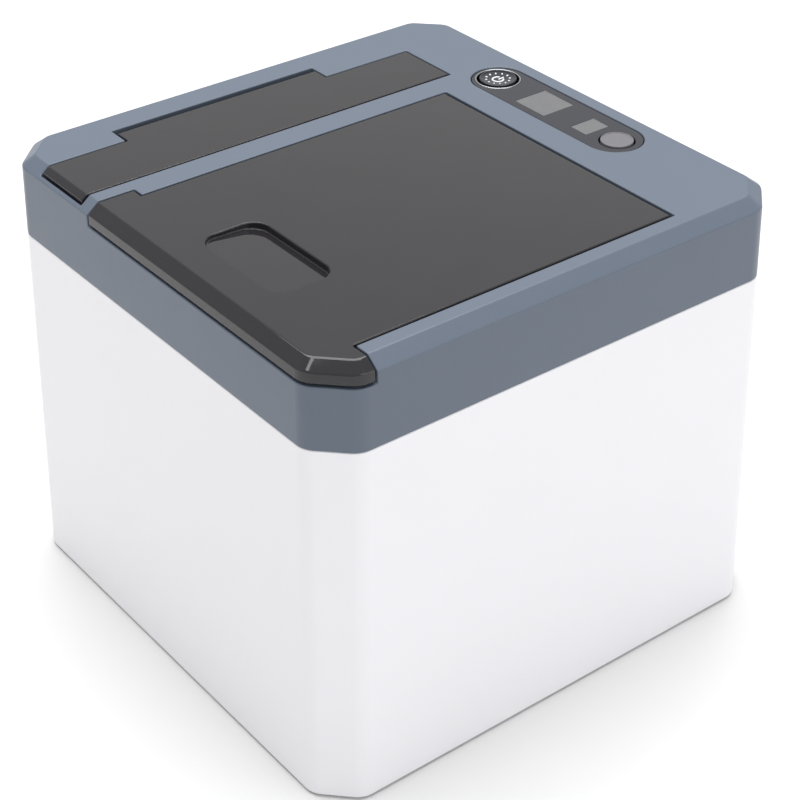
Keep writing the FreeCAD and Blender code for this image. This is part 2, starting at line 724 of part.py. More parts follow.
def head_parts():
    left = roller_left - 0.4
    right = roller_right + 0.4
    head = head_slab(left, right, 0, head_thickness, -1.5, head_length - 1.5)
    save("print_head", head)
    left = frame_left + frame_wall
    right = frame_right - frame_wall
    save("head_heatsink", head_slab(left, right, head_thickness, head_back, -1.0, head_length - 1.5))
    save("head_bracket", head_slab(left, right, bracket_away, bracket_away + bracket_wall,
                                   bracket_down, bracket_down + bracket_length))
    save("head_springs", make_head_springs())
    inside = wall_inside(skirt_z)
    blade_top = skirt_z - apart
    pitch = (roller_right - roller_left) / blade_teeth
    edge = []
    for k in range(blade_teeth):
        edge.append(V(roller_left + k * pitch, inside, blade_top - blade_tooth))
        edge.append(V(roller_left + (k + 0.5) * pitch, inside, blade_top))
    edge.append(V(roller_right, inside, blade_top - blade_tooth))
    edge += [V(x, inside, skirt_z - blade_length) for x in (roller_right, roller_left)]
    save("tear_bar", polygon_face(edge).extrude(V(0, blade_wall, 0)))


def bin_parts():
    outer = rod(bin_radius + bin_wall, V(bin_left, bin_y, bin_z), X_AXIS, bin_right - bin_left)
    outer = outer.cut(box(bin_left - 1, bin_right + 1, bin_front - 1, bin_rear + 1, bin_z, far))
    shaft = box(bin_left, bin_right, bin_front, bin_rear, bin_z, bin_top)
    inner = rod(bin_radius, V(bin_left + bin_wall, bin_y, bin_z), X_AXIS,
                bin_right - bin_left - 2 * bin_wall)
    throat = box(bin_left + bin_wall, bin_right - bin_wall, bin_front + bin_wall, bin_rear - bin_wall,
                 bin_z, bin_top + 1)
    flanges = [box(bin_left - 1.6, bin_left + 0.5, bin_front + 4, bin_rear - 8, bin_top, under_top),
               box(bin_right - 0.5, bin_right + 1.6, bin_front + 4, bin_rear - 8, bin_top, under_top)]
    walls = [box(bin_left, bin_left + bin_wall, bin_front + 4, bin_rear - 8, bin_z, under_top),
             box(bin_right - bin_wall, bin_right, bin_front + 4, bin_rear - 8, bin_z, under_top)]
    paper_bin = joined([outer, shaft] + walls + flanges).cut(inner.fuse(throat))
    return paper_bin


def panel_parts():
    low = under_top - flange_wall
    top = top_z - panel_sunk
    panel = stadium(panel_length, panel_width, panel_shift, panel_y, under_top - 0.1, top)
    flange = stadium(panel_length + 2 * flange_margin, panel_width + 2 * flange_margin,
                     panel_shift, panel_y, low, under_top)
    panel = panel.fuse(flange).removeSplitter()
    power = panel_shift + power_x
    feed = panel_shift + feed_x
    ring_radius = power_radius + apart + power_ring_width
    panel = panel.cut(rod(ring_radius, V(power, panel_y, low - 1), Z_AXIS, 9))
    panel = panel.cut(rod(feed_radius + apart, V(feed, panel_y, low - 1), Z_AXIS, 9))
    for name, x, size in (("status_window", status_x, status_size), ("link_window", link_x, link_size)):
        x0 = panel_shift + x - size[0] / 2
        y0 = panel_y - size[1] / 2
        pane = box(x0, x0 + size[0], y0, y0 + size[1], low, top)
        panel = panel.cut(pane)
        save(name, pane)
    save("control_panel", panel)
    save("power_ring", tube(ring_radius, power_radius + apart, V(power, panel_y, low), Z_AXIS,
                            top + 0.1 - low))
    stem_z = button_board_z + board_thickness + switch_height + button_travel + 0.2
    for name, x, radius in (("power_button", power, power_radius), ("feed_button", feed, feed_radius)):
        cap = rod(radius, V(x, panel_y, low - 1.0), Z_AXIS, top_z + button_proud - low + 1.0)
        rim = [e for e in cap.Edges if e.BoundBox.ZMin > top_z]
        cap = cap.makeFillet(button_round, rim)
        flange = rod(radius + button_flange, V(x, panel_y, low - apart - button_flange), Z_AXIS,
                     button_flange)
        stem = rod(button_stem, V(x, panel_y, stem_z), Z_AXIS, low - stem_z)
        save(name, joined([cap, flange, stem]))
    left = panel_shift - panel_length / 2 - 7
    right = panel_shift + panel_length / 2 + 7
    z = button_board_z
    board = rounded_block(left, right, panel_y - button_board_width / 2,
                          panel_y + button_board_width / 2, z, z + board_thickness, 1.0)
    for x in pillar_x:
        board = board.cut(rod(small_screw[1] + slip, V(x, panel_y, z - 1), Z_AXIS, 4))
    save("button_board", board)
    save("panel_screws", group([screw(V(x, panel_y, z), 6.0, *small_screw) for x in pillar_x]))
    z += board_thickness
    switches = []
    for x in (power, feed):
        body = standing(x, panel_y, z, (switch_size, switch_size, switch_body))
        switches.append(body.fuse(rod(1.7, V(x, panel_y, z), Z_AXIS, switch_height - 0.1)))
    save("tact_switches", group(switches))
    lamps = [standing(panel_shift + x, panel_y, z, lamp_size)
             for x in (status_x - lamp_offset, status_x + lamp_offset, link_x)]
    save("indicator_lamps", group(lamps))


def tray_parts():
    z = top_z - tray_depth
    x = (cover_left + cover_right) / 2
    middle = (reset_from_middle - mode_from_middle) / 2 - 1.5
    save("settings_board", standing(x, middle, z, settings_size + (board_thickness,)))
    z += board_thickness
    lever_y = -mode_from_middle
    slot_z = z + mode_size[2] - mode_slot[2]
    slot = standing(x, lever_y, slot_z, mode_slot[:2] + (far,))
    save("mode_switch", standing(x, lever_y, z, mode_size).cut(slot))
    save("mode_lever", standing(x, lever_y - mode_travel / 2, slot_z + apart, mode_lever))
    well = V(x, reset_from_middle, z + reset_floor)
    body = standing(x, well.y, z, reset_size)
    save("reset_switch", body.cut(rod(reset_radius + apart, well, Z_AXIS, far)))
    foot = well + V(0, 0, reset_travel + apart)
    save("reset_button", rod(reset_radius, foot, Z_AXIS, reset_height))


def board_parts():
    z = board_z + circuit_board
    board = rounded_block(board_left, board_right, board_front, board_rear, board_z, z, 1.5)
    for x, y in board_screws:
        board = board.cut(rod(1.0 + slip, V(x, y, board_z - 1), Z_AXIS, 4))
    save("main_board", board)
    fixings = []
    for x, y in board_screws:
        fixing = screw(V(x, y, 0), 4.0, small_screw[0], 0.9)
        fixing.rotate(V(x, y, 0), X_AXIS, 180)
        fixing.translate(V(0, 0, z))
        fixings.append(fixing)
    save("board_screws", group(fixings))
    rear = case_depth / 2 - wall_draft * (z - base_z) / case_height - 0.8
    w, d, h = jack_size
    jack = box(jack_x - w / 2, jack_x + w / 2, rear - d, rear, z, z + h)
    mouth = V(jack_x, rear + 1, z + h / 2)
    save("power_jack", jack.cut(rod(3.2, mouth, V(0, -1, 0), 10.5)))
    save("jack_pin", rod(1.0, V(jack_x, rear - 9.5, mouth.z), Y_AXIS, 8.5))
    w, d, h = usb_size
    usb = box(usb_x - w / 2, usb_x + w / 2, rear - d, rear, z, z + h)
    mouth = box(usb_x - w / 2 + 1.8, usb_x + w / 2 - 1.8, rear - 9, rear + 1, z + 1.8, z + h - 1.2)
    tongue = box(usb_x - 2.8, usb_x + 2.8, rear - 9.5, rear - 1, z + 4.2, z + 7.4)
    save("usb_port", usb.cut(mouth).fuse(tongue))
    chips = [box(board_left + x, board_left + x + w, board_front + y, board_front + y + d, z, z + h)
             for x, y, w, d, h in chip_places]
    save("board_chips", group(chips))
    cans = []
    for k in range(3):
        can = rod(can_radius, V(board_left + 9, board_front + 14 + can_pitch * k, z), Z_AXIS, can_height)
        cans.append(can.makeFillet(0.5, [e for e in can.Edges if e.BoundBox.ZMin > z + can_height / 2]))
    save("capacitors", group(cans))
    middle = V(board_right - 9, board_front + 40, z)
    mouth = middle + V(0, 0, buzzer_height - 1.5)
    save("buzzer", rod(buzzer_radius, middle, Z_AXIS, buzzer_height).cut(rod(0.9, mouth, Z_AXIS, 3)))
    socket_y = board_front + 6
    save("ribbon_socket", standing(ribbon_x, socket_y, z, ribbon_socket))
    return socket_y, z + ribbon_socket[2]


def ribbon_run():
    """Y of the straight upright stretch of the flat cable."""
    return head_point(head_thickness / 2, head_length - 1.5)[0] + 1.0


def ribbon(socket_y, socket_z):
    """Flat cable from the foot of the head down to its socket on the main board."""
    top_y, top_head_z = head_point(head_thickness / 2, head_length - 1.5)
    run_y = ribbon_run()
    left = ribbon_x - ribbon_width / 2
    outline = [(top_y, top_head_z), (run_y, top_head_z - 3), (run_y, socket_z + 14),
               (socket_y, socket_z + 6), (socket_y, socket_z)]
    shifted = [(y + ribbon_thickness, z) for y, z in reversed(outline)]
    return across(outline + shifted, left, left + ribbon_width)


def sensor_parts():
    sensor = standing(roller_left + 9, bin_front - sensor_size[1] / 2,
                      bin_top - 1 - sensor_size[2], sensor_size)
    save("paper_sensor", sensor)
    switch_x = frame_left + frame_wall + door_switch_size[0] / 2
    save("door_switch", standing(switch_x, frame_rear - 0.5 - door_switch_size[1] / 2,
                                 frame_z + frame_wall, door_switch_size))


os.makedirs("parts", exist_ok=True)
case_parts()
door_parts()
drive_parts()
head_parts()
save("paper_bin", bin_parts())
panel_parts()
tray_parts()
save("head_ribbon", ribbon(*board_parts()))
sensor_parts()
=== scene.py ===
"""Looks of a desktop receipt printer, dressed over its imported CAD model.

Metres, +Z up, the paper leaves at the front (-Y).  CAD nodes keep their shape and take
procedural finishes.  The shells, the door, the covers, the sockets and the windows are stood
for by copies with rounded edges.  The keys, the ring, the feet and the feed roller are turned
surfaces, and the power key's sign is made of swept beads.
"""

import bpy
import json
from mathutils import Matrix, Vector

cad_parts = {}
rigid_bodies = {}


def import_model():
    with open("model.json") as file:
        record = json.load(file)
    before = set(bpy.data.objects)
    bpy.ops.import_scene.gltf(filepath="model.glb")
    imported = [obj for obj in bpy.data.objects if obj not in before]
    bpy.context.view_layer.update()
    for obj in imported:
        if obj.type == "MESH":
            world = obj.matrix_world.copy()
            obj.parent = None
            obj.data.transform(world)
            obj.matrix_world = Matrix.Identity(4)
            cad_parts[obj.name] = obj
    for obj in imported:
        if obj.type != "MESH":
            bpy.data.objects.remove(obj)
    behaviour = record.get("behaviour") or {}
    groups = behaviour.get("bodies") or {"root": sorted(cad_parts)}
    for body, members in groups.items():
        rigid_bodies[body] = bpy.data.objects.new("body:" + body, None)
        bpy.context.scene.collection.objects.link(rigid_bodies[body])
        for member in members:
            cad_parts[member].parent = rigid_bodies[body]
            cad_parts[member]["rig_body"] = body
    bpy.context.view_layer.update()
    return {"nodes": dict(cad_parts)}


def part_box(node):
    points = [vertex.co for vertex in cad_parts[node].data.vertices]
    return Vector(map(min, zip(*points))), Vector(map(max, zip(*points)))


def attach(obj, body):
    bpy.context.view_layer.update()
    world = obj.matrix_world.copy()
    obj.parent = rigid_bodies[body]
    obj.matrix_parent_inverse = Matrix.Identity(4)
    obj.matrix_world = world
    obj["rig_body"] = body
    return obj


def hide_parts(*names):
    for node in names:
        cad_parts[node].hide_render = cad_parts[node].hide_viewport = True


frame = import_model()

import json
import math

import bmesh
import bpy
import numpy as np
from mathutils import Vector

MM = 0.001

# each node's finish by name; the frame's plain colours then make room for the real finishes
finish_names = {name: node.data.materials[0].name for name, node in frame["nodes"].items()}
for plain in list(bpy.data.materials):
    bpy.data.materials.remove(plain)


# ---- shader maths ---------------------------------------------------------------------------
class Value:
    """One output of a material's nodes; every operator adds the Math node it stands for."""

    def __init__(self, finish, socket):
        self.finish = finish
        self.socket = socket

    def math(self, operation, *values, clamp=False):
        settings = {"operation": operation, "use_clamp": clamp}
        return self.finish.add("ShaderNodeMath", settings, dict(enumerate(values)))

    def __add__(self, other):
        return self.math("ADD", self, other)

    def __rsub__(self, other):
        return self.math("SUBTRACT", other, self)

    def __mul__(self, other):
        return self.math("MULTIPLY", self, other)

    def __truediv__(self, other):
        return self.math("DIVIDE", self, other)

    __radd__ = __add__
    __rmul__ = __mul__

    def clipped(self):
        return self.math("ADD", self, 0.0, clamp=True)

    def size(self):
        return self.math("ABSOLUTE", self)

    def wave(self):
        return self.math("SINE", self)

    def step(self, low, high):
        """0 below low and 1 above high, with a smooth rise between them."""
        settings = {"interpolation_type": "SMOOTHSTEP"}
        return self.finish.add(
            "ShaderNodeMapRange", settings, {"Value": self, "From Min": low, "From Max": high}
        )


class Finish:
    """A material under a maker's name, its Principled shader and what is wired into it."""

    def __init__(self, name, **constants):
        self.material = bpy.data.materials.new(name)
        self.material.use_nodes = True
        self.tree = self.material.node_tree
        self.shader = self.tree.nodes["Principled BSDF"]
        place = self.tree.nodes.new("ShaderNodeTexCoord")
        self.place = Value(self, place.outputs["Object"])
        for key, value in constants.items():
            self.shader.inputs[key.replace("_", " ")].default_value = value

    def add(self, kind, settings, sockets, out=0):
        """A node of any type: its settings first, then a value or a link for each socket."""
        node = self.tree.nodes.new(kind)
        for key, value in settings.items():
            setattr(node, key, value)
        for key, value in sockets.items():
            if isinstance(value, Value):
                self.tree.links.new(value.socket, node.inputs[key])
            else:
                node.inputs[key].default_value = value
        return Value(self, node.outputs[out])

    def set(self, **values):
        """Wires or sets the shader's sockets, named with _ for a blank."""
        for key, value in values.items():
            socket = self.shader.inputs[key.replace("_", " ")]
            if isinstance(value, Value):
                self.tree.links.new(value.socket, socket)
            else:
                socket.default_value = value
        return self

    def noise(self, size, detail=2.0, rough=0.5, where=None, seed=0.0):
        """Soft random values round 0.5 whose lumps are about size metres across."""
        sockets = {"Vector": where or self.place, "Scale": 1 / size, "Detail": detail,
                   "Roughness": rough, "W": seed}
        return self.add("ShaderNodeTexNoise", {"noise_dimensions": "4D"}, sockets)

    def cells(self, size):
        """Distance to the nearest of random points about size metres apart."""
        return self.add("ShaderNodeTexVoronoi", {}, {"Vector": self.place, "Scale": 1 / size})

    def stretched(self, x, y, z):
        """The place with each axis scaled, so that a pattern runs long or short on it."""
        return self.add("ShaderNodeMapping", {}, {"Vector": self.place, "Scale": (x, y, z)})

    def axis(self, name):
        return self.add("ShaderNodeSeparateXYZ", {}, {"Vector": self.place}, "XYZ".index(name))

    def mix(self, share, first, second):
        """First where share is 0 and second where it is 1, as colours."""
        full = [v if isinstance(v, Value) else (*v, 1) for v in (first, second)]
        settings = {"data_type": "RGBA", "clamp_factor": True}
        return self.add("ShaderNodeMix", settings, {0: share, 6: full[0], 7: full[1]}, 2)

    def bump(self, height, depth, strength=1.0):
        """Surface relief: height from 0 to 1 stands depth metres."""
        sockets = {"Strength": strength, "Distance": depth, "Height": height}
        return self.add("ShaderNodeBump", {}, sockets)

    def stripes(self, axis, pitch, low, high, shift=0.0):
        """Even bars across an axis: |sin(pi a / pitch + shift)| between the levels low and high."""
        return (self.axis(axis) / pitch * math.pi + shift).wave().size().step(low, high)


def shade(colour, factor):
    return tuple(min(c * factor, 1) for c in colour)


# ---- finishes -------------------------------------------------------------------------------
def moulded(name, colour, rough, grain=0.35 * MM, depth=0.012 * MM, spread=0.03, **constants):
    """Moulded plastic: a fine even grain, faint flow clouds and a slightly uneven sheen."""
    f = Finish(name, **constants)
    cloud = f.noise(14 * MM, 3)
    fine = f.noise(grain, 2, 0.6)
    f.set(
        Base_Color=f.mix(cloud, shade(colour, 1 - spread), shade(colour, 1 + spread)),
        Roughness=rough - 0.04 + 0.08 * f.noise(5 * MM, 3, seed=2.0) + 0.05 * fine,
        Normal=f.bump(fine, depth),
    )
    return f.material


def brushed(name, colour, rough, along="X", depth=0.004 * MM, **constants):
    """Drawn or ground metal: fine lines along one axis and a faint stain here and there."""
    f = Finish(name, Metallic=1.0, **constants)
    scale = [1.0, 1.0, 1.0]
    scale["XYZ".index(along)] = 0.03
    lines = f.noise(0.12 * MM, 3, 0.7, f.stretched(*scale))
    stain = f.noise(4 * MM, 4, 0.6, seed=1.0)
    f.set(
        Base_Color=f.mix(stain, shade(colour, 0.86), shade(colour, 1.06)),
        Roughness=rough - 0.08 + 0.12 * lines + 0.08 * stain,
        Normal=f.bump(lines, depth),
    )
    return f.material


def smoked():
    """Polished smoke-tinted plastic: dark, clear in thin edges, with the finest ripple."""
    f = Finish("smoked_plastic", IOR=1.5, Transmission_Weight=0.4)
    ripple = f.noise(9 * MM, 2)
    dust = f.noise(0.5 * MM, 4, 0.7, seed=3.0).step(0.66, 0.82)
    tint = f.mix(ripple, (0.028, 0.026, 0.030), (0.034, 0.032, 0.036))
    f.set(
        Base_Color=tint,
        Roughness=0.035 + 0.03 * ripple + 0.05 * dust,
        Normal=f.bump(ripple, 0.03 * MM, 0.5),
    )
    return f.material


def gloss_panel(name, colour, rough=0.08, **constants):
    """Polished dark plastic with faint ripple and specks of dust."""
    f = Finish(name, **constants)
    ripple = f.noise(6 * MM, 2)
    dust = f.noise(0.4 * MM, 4, 0.7, seed=3.0).step(0.68, 0.84)
    f.set(
        Base_Color=f.mix(dust * 0.35, colour, shade(colour, 2.2)),
        Roughness=rough + 0.04 * ripple + 0.1 * dust,
        Normal=f.bump(ripple, 0.02 * MM, 0.5),
    )
    return f.material


def frosted_window():
    """Frosted light window: a fine stipple over a pale diffuser."""
    f = Finish("lamp_window", Subsurface_Weight=0.15, Subsurface_Scale=0.001)
    stipple = f.cells(0.22 * MM)
    cloud = f.noise(3 * MM, 2)
    f.set(
        Base_Color=f.mix(cloud, (0.122, 0.123, 0.127), (0.140, 0.141, 0.146)),
        Roughness=0.34 + 0.12 * stipple,
        Normal=f.bump(stipple, 0.01 * MM),
    )
    return f.material


def rubber(name, colour, grain=0.25 * MM):
    """Ground rubber: dull, with a tight uneven grain and chalky lighter patches."""
    f = Finish(name, Sheen_Weight=0.1)
    fine = f.noise(grain, 4, 0.7)
    bloom = f.noise(3 * MM, 4, 0.6, seed=4.0)
    f.set(
        Base_Color=f.mix(bloom, colour, shade(colour, 1.9)),
        Roughness=0.72 + 0.2 * fine,
        Normal=f.bump(fine, 0.03 * MM),
    )
    return f.material


def circuit_board():
    """Green solder mask: copper tracks show as raised paler lines, with small round pads."""
    f = Finish("circuit_board", Coat_Roughness=0.12)
    pitch = 1.27 * MM
    run = (f.noise(6 * MM, 1, seed=5.0) * 9).wave()
    track = f.stripes("X", pitch, 0.80, 0.92, run)
    cross = f.stripes("Y", pitch, 0.84, 0.94, run)
    area = f.noise(7 * MM, 1, seed=6.0).step(0.49, 0.51)
    copper = (track * area + cross * (1 - area)).clipped()
    pads = 1 - f.cells(2.6 * MM).step(0.14, 0.18)
    mask = f.mix(copper, (0.008, 0.075, 0.035), (0.02, 0.17, 0.075))
    f.set(
        Base_Color=f.mix(pads, mask, (0.62, 0.58, 0.50)),
        Metallic=pads * 0.9,
        Roughness=0.26 + 0.14 * f.noise(2 * MM, 3),
        Coat_Weight=0.6 * (1 - pads),
        Normal=f.bump((copper + pads).clipped(), 0.035 * MM),
    )
    return f.material


def flat_cable():
    """Flat flexible cable: pale film over evenly spaced copper strips."""
    f = Finish("ribbon", IOR=1.45)
    strips = f.stripes("X", 1.0 * MM, 0.35, 0.75)
    f.set(
        Base_Color=f.mix(strips, (0.78, 0.76, 0.68), (0.62, 0.46, 0.30)),
        Roughness=0.3 + 0.15 * f.noise(2 * MM, 2),
        Normal=f.bump(strips, 0.03 * MM),
    )
    return f.material


def ceramic():
    """Glazed ceramic strip with the dark heater line along it and thin silver feeds."""
    f = Finish("head_ceramic", Coat_Weight=0.5)
    feeds = f.stripes("X", 0.5 * MM, 0.55, 0.8)
    f.set(
        Base_Color=f.mix(feeds, (0.78, 0.77, 0.72), (0.55, 0.54, 0.50)),
        Roughness=0.16 + 0.1 * f.noise(1 * MM, 2),
        Normal=f.bump(feeds, 0.01 * MM),
    )
    return f.material


FINISHES = {
    "white_shell": moulded("white_shell", (0.835, 0.83, 0.86), 0.36, spread=0.012),
    "grey_top": moulded("grey_top", (0.104, 0.130, 0.172), 0.34),
    "foot_rubber": rubber("foot_rubber", (0.028, 0.028, 0.03)),
    "smoked_plastic": smoked(),
    "panel_black": gloss_panel("panel_black", (0.018, 0.019, 0.027)),
    "light_key": moulded("light_key", (0.144, 0.142, 0.156), 0.38),
    "bright_ring": brushed("bright_ring", (0.42, 0.43, 0.45), 0.2),
    "lamp_window": frosted_window(),
    "roller_rubber": rubber("roller_rubber", (0.022, 0.022, 0.023), 0.18 * MM),
    "steel": brushed("steel", (0.60, 0.60, 0.61), 0.28),
    "nylon": moulded(
        "nylon", (0.72, 0.70, 0.62), 0.42, Subsurface_Weight=0.2, Subsurface_Scale=0.001
    ),
    "brass": brushed("brass", (0.72, 0.52, 0.24), 0.24),
    "black_plastic": moulded("black_plastic", (0.022, 0.022, 0.025), 0.46, depth=0.02 * MM),
    "bin_plastic": moulded("bin_plastic", (0.060, 0.066, 0.074), 0.44, depth=0.02 * MM),
    "zinc_sheet": brushed("zinc_sheet", (0.64, 0.65, 0.66), 0.32, "Y"),
    "motor_can": brushed("motor_can", (0.56, 0.57, 0.58), 0.30, "X"),
    "blade_steel": brushed("blade_steel", (0.66, 0.66, 0.67), 0.22, "X"),
    "head_ceramic": ceramic(),
    "heatsink": brushed("heatsink", (0.66, 0.67, 0.68), 0.36, "X"),
    "ribbon": flat_cable(),
    "circuit_board": circuit_board(),
    "capacitor": gloss_panel("capacitor", (0.045, 0.05, 0.07), 0.25),
    "socket_plastic": moulded("socket_plastic", (0.74, 0.72, 0.65), 0.4),
    "lamp": gloss_panel("lamp", (0.72, 0.73, 0.66), 0.12, Transmission_Weight=0.5),
    "reset_key": moulded("reset_key", (0.36, 0.05, 0.04), 0.4),
}

for name, node in frame["nodes"].items():
    node.material_slots[0].material = FINISHES[finish_names[name]]


# ---- pieces ---------------------------------------------------------------------------------
def placed(name, mesh, finish, body, *stands_for):
    """A piece with its place in its mesh, riding on a body, in place of CAD nodes."""
    piece = bpy.data.objects.new(name, mesh)
    bpy.context.scene.collection.objects.link(piece)
    mesh.materials.clear()
    mesh.materials.append(FINISHES[finish])
    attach(piece, body)
    if stands_for:
        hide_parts(*stands_for)
    return piece


CREASE = math.radians(25)          # an edge sharper than this is rounded
SAME_FACE = math.radians(0.4)      # triangles flatter than this to each other are one face
TOP_LAYER = 5 * MM                 # faces wholly below this depth keep triangles


def softened(node, width):
    """The CAD node's shape with its doubles merged and its sharp edges rounded.

    The door's thin lip takes the rounding's own normals, and the other pieces take normals
    weighted to their large flat faces.
    """
    source = frame["nodes"][node]
    work = bmesh.new()
    work.from_mesh(source.data)
    bmesh.ops.remove_doubles(work, verts=work.verts, dist=0.001 * MM)
    bmesh.ops.dissolve_limit(work, angle_limit=SAME_FACE, verts=work.verts, edges=work.edges)
    deep = max(vert.co.z for vert in work.verts) - TOP_LAYER
    inner = [face for face in work.faces if max(vert.co.z for vert in face.verts) < deep]
    bmesh.ops.triangulate(work, faces=inner)
    mesh = bpy.data.meshes.new(node + "_soft")
    work.to_mesh(mesh)
    work.free()
    if "custom_normal" in mesh.attributes:
        mesh.attributes.remove(mesh.attributes["custom_normal"])
    mesh.shade_smooth()
    mesh.set_sharp_from_angle(angle=CREASE)
    piece = placed(node + "_soft", mesh, finish_names[node], source["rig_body"], node)
    round_over = piece.modifiers.new("rounded edges", "BEVEL")
    round_over.limit_method = "ANGLE"
    round_over.angle_limit = CREASE
    round_over.width = width
    round_over.segments = 3
    round_over.use_clamp_overlap = False
    round_over.miter_outer = "MITER_ARC"
    if node == "paper_door":
        round_over.harden_normals = True
    else:
        piece.modifiers.new("flat faces stay flat", "WEIGHTED_NORMAL").weight = 100
    return piece


for node, width in (
    ("body_shell", 0.25 * MM),
    ("top_case", 0.2 * MM),
    ("paper_door", 0.25 * MM),
    ("side_cover", 0.2 * MM),
    ("control_panel", 0.1 * MM),
    ("bottom_cover", 0.15 * MM),
    ("paper_bin", 0.25 * MM),
    ("platen_carrier", 0.15 * MM),
    ("power_jack", 0.15 * MM),
    ("usb_port", 0.1 * MM),
    ("status_window", 0.06 * MM),
    ("link_window", 0.06 * MM),
):
    softened(node, width)


# ---- computed surfaces ------------------------------------------------------------------------
def eased(corners, ease, steps=6):
    """A profile whose inner corners are rounded off.

    At each corner p, a and b lie the distance ease before and after it, and the profile
    follows (1 - s)^2 a + 2 s (1 - s) p + s^2 b for s from 0 to 1.
    """
    corners = np.array(corners, float)
    s = np.linspace(0, 1, steps)[:, None]
    parts = [corners[:1]]
    for before, corner, after in zip(corners, corners[1:], corners[2:]):
        reach = min(ease, *(0.45 * np.linalg.norm(p - corner) for p in (before, after)))
        ways = [(p - corner) / np.linalg.norm(p - corner) for p in (before, after)]
        a, b = (corner + reach * way for way in ways)
        parts.append((1 - s) ** 2 * a + 2 * s * (1 - s) * corner + s ** 2 * b)
    return np.concatenate(parts + [corners[-1:]])


def turned(profile, middle, turns=96, along="Z"):
    """Points of a surface of revolution, profile rows by turn columns.

    A profile point (r, h) goes to middle + (r cos t, r sin t, h) for t from 0 to 2 pi, and
    along="X" lays the axis down: middle + (h, r cos t, r sin t).
    """
    t = np.arange(turns) * math.tau / turns
    radius = profile[:, :1]
    height = np.broadcast_to(profile[:, 1:], (len(profile), turns))
    sides = [radius * np.cos(t), radius * np.sin(t)]
    order = sides + [height] if along == "Z" else [height] + sides
    return np.stack(order, axis=-1) + np.array(middle)


def swept(line, radius, level, sides=8):
    """Points of a round bead laid along a plan line, its ends drawn in to nothing.

    A line point p with plan direction d = (u, v) goes to p + radius k (-v cos t, u cos t, sin t),
    where k is 0 on the first and the last row and 1 between them; level(x, y) gives its height.
    """
    line = np.concatenate([line[:1], line, line[-1:]])
    way = np.gradient(line, axis=0)
    way /= np.maximum(np.linalg.norm(way, axis=1, keepdims=True), 1e-12)
    full = np.ones(len(line))
    full[[0, -1]] = 0
    t = np.arange(sides) * math.tau / sides
    swell = radius * full[:, None]
    x = line[:, :1] - swell * way[:, 1:] * np.cos(t)
    y = line[:, 1:] + swell * way[:, :1] * np.cos(t)
    z = level(line[:, :1], line[:, 1:]) + swell * np.sin(t)
    return np.stack([x, y, z], axis=-1)


def grid_mesh(name, *grids):
    """One mesh over arrays of points, rows by columns, each row closed into a ring.

    The quad at row i and column k joins the points (i, k - 1), (i, k), (i + 1, k) and
    (i + 1, k - 1), and points counted on from one array to the next.
    """
    faces, count = [], 0
    for rows, columns in (grid.shape[:2] for grid in grids):
        here = count + np.arange(rows * columns).reshape(rows, columns)
        back = np.roll(here, 1, axis=1)
        faces.append(np.stack([back[:-1], here[:-1], here[1:], back[1:]], axis=-1).reshape(-1, 4))
        count += rows * columns
    points = np.concatenate([grid.reshape(-1, 3) for grid in grids])
    mesh = bpy.data.meshes.new(name)
    mesh.from_pydata(points.tolist(), [], np.concatenate(faces).tolist())
    work = bmesh.new()
    work.from_mesh(mesh)
    bmesh.ops.remove_doubles(work, verts=work.verts, dist=0.0001 * MM)
    bmesh.ops.recalc_face_normals(work, faces=work.faces)
    work.to_mesh(mesh)
    work.free()
    mesh.shade_smooth()
    mesh.set_sharp_from_angle(angle=math.radians(35))
    return mesh


FACE_ROWS = 12             # rows of points across half a key's hollow
KEY_DROP = 0.15 * MM       # a key's rim under its CAD height
KEY_RIM = 0.3 * MM         # flat rim round a key's hollow
RIM_STEP = 0.04 * MM       # rim above the hollow's edge
FLANGE_LIP = 0.9 * MM      # flange past the cap, and its thickness
FLANGE_GAP = 0.3 * MM      # flange below the panel
STEM_RADIUS = 1.4 * MM


def key_profile(node, dish, ease):
    """Half outline of a panel key from the middle of its face down to the foot of its stem.

    Its face is hollowed to the height top - step - dish (1 - (r / R)^2).
    """
    low, high = (np.array(corner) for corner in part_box(node))
    top = high[2] - KEY_DROP
    flange = (high[0] - low[0]) / 2
    cap = flange - FLANGE_LIP
    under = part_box("control_panel")[0][2] - FLANGE_GAP
    foot = under - FLANGE_LIP
    r = np.linspace(0, cap - KEY_RIM, FACE_ROWS)
    face = np.stack([r, top - dish * (1 - (r / cap) ** 2) - RIM_STEP], axis=1)
    rest = [(cap - KEY_RIM, top), (cap, top), (cap, under), (flange, under), (flange, foot),
            (STEM_RADIUS, foot), (STEM_RADIUS, low[2]), (0, low[2])]
    middle = ((low[0] + high[0]) / 2, (low[1] + high[1]) / 2, 0)
    return np.concatenate([face, eased(rest, ease)]), middle


def level_of(profile, middle):
    """Height of a turned face over a plan point, read off its half outline."""
    face = profile[:FACE_ROWS]
    return lambda x, y: np.interp(np.hypot(x - middle[0], y - middle[1]), face[:, 0], face[:, 1])


power_profile, power_middle = key_profile("power_button", 0.35 * MM, 0.25 * MM)
feed_profile, feed_middle = key_profile("feed_button", 0.05 * MM, 0.2 * MM)
placed("power_key", grid_mesh("power_key", turned(power_profile, power_middle)),
       "panel_black", "power_key", "power_button")
placed("feed_key", grid_mesh("feed_key", turned(feed_profile, feed_middle)),
       "light_key", "feed_key", "feed_button")

# the sign on the power key: a broken ring, a bar through its gap, and dots all round
SIGN_RING = 0.98 * MM      # radius of the broken ring
SIGN_GAP = 32              # half of its gap, in degrees from the bar
SIGN_BAR = (0.1 * MM, 1.3 * MM)
SIGN_DOTS = 12
DOT_REACH = (1.95 * MM, 2.3 * MM)

